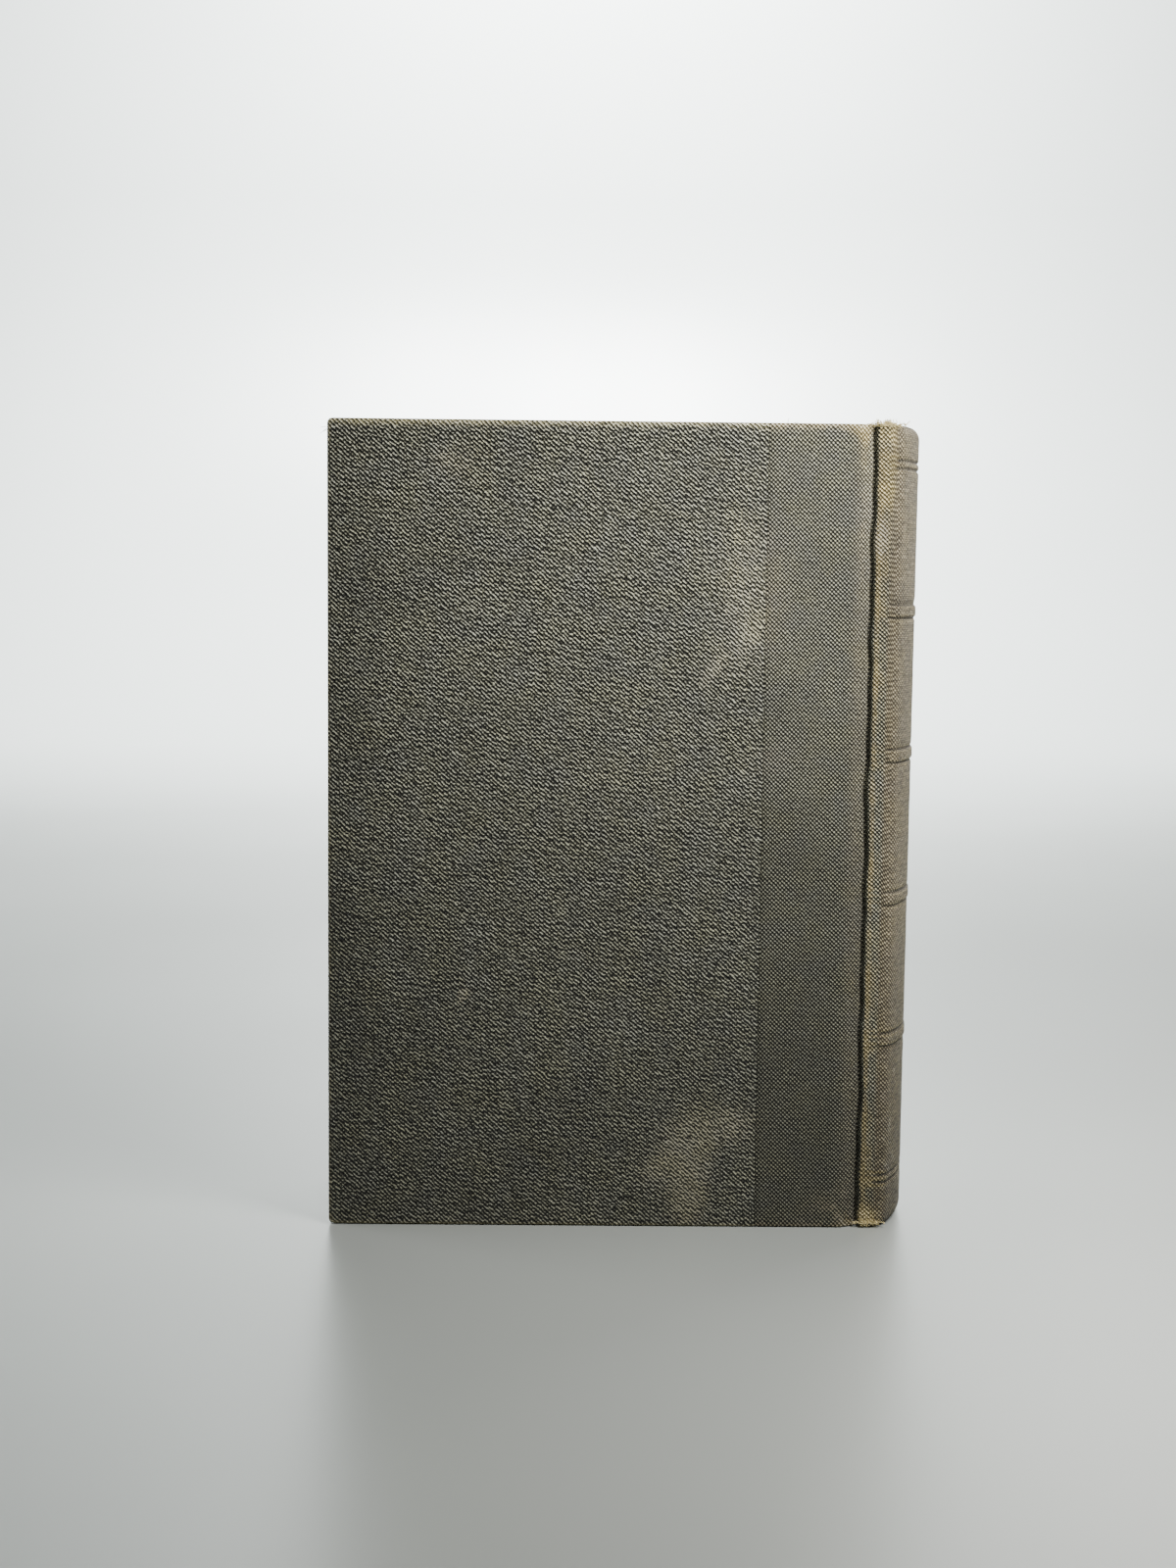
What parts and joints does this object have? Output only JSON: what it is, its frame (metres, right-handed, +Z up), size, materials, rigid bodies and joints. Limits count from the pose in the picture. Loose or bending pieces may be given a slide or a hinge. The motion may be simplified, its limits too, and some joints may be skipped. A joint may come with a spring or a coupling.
{
  "type": "hardback book",
  "caption": "Worn hardback book standing on its tail: cloth boards, a rounded woven spine with low bands and blind lines, pressed joints, and hinged covers.",
  "frame": {"origin": "middle of the tail, on the surface that the closed book stands on", "axes": "+Z up from tail to head, +X towards the spine, -X towards the fore edge, -Y out of the rear cover, +Y out of the front cover"},
  "size_m": [0.1454, 0.044, 0.198],
  "materials": {
    "side_cloth": "matte",
    "spine_cloth": "matte",
    "board": "matte",
    "endpaper": "matte",
    "pages": "matte",
    "card": "matte",
    "kraft": "matte",
    "mull": "matte",
    "band": "matte"
  },
  "bodies": {
    "book_block": {"text_block": "pages", "rear_flyleaf": "endpaper", "front_flyleaf": "endpaper", "mull": "mull", "spine_lining": "kraft", "spine_inlay": "card", "headband": "band", "tailband": "band", "spine_cloth": "spine_cloth"},
    "rear_cover": {"rear_board": "board", "rear_side_cloth": "side_cloth", "rear_joint_cloth": "spine_cloth", "rear_pastedown": "endpaper"},
    "front_cover": {"front_board": "board", "front_side_cloth": "side_cloth", "front_joint_cloth": "spine_cloth", "front_pastedown": "endpaper"}
  },
  "joints": [
    {"name": "rear_cover_hinge", "type": "hinge", "parent": "book_block", "child": "rear_cover", "pos_m": [0.05881, -0.022, 0.099], "axis": [0, 0, 1], "range_deg": [0, 175]},
    {"name": "front_cover_hinge", "type": "hinge", "parent": "book_block", "child": "front_cover", "pos_m": [0.05881, 0.022, 0.099], "axis": [0, 0, -1], "range_deg": [0, 175]}
  ]
}
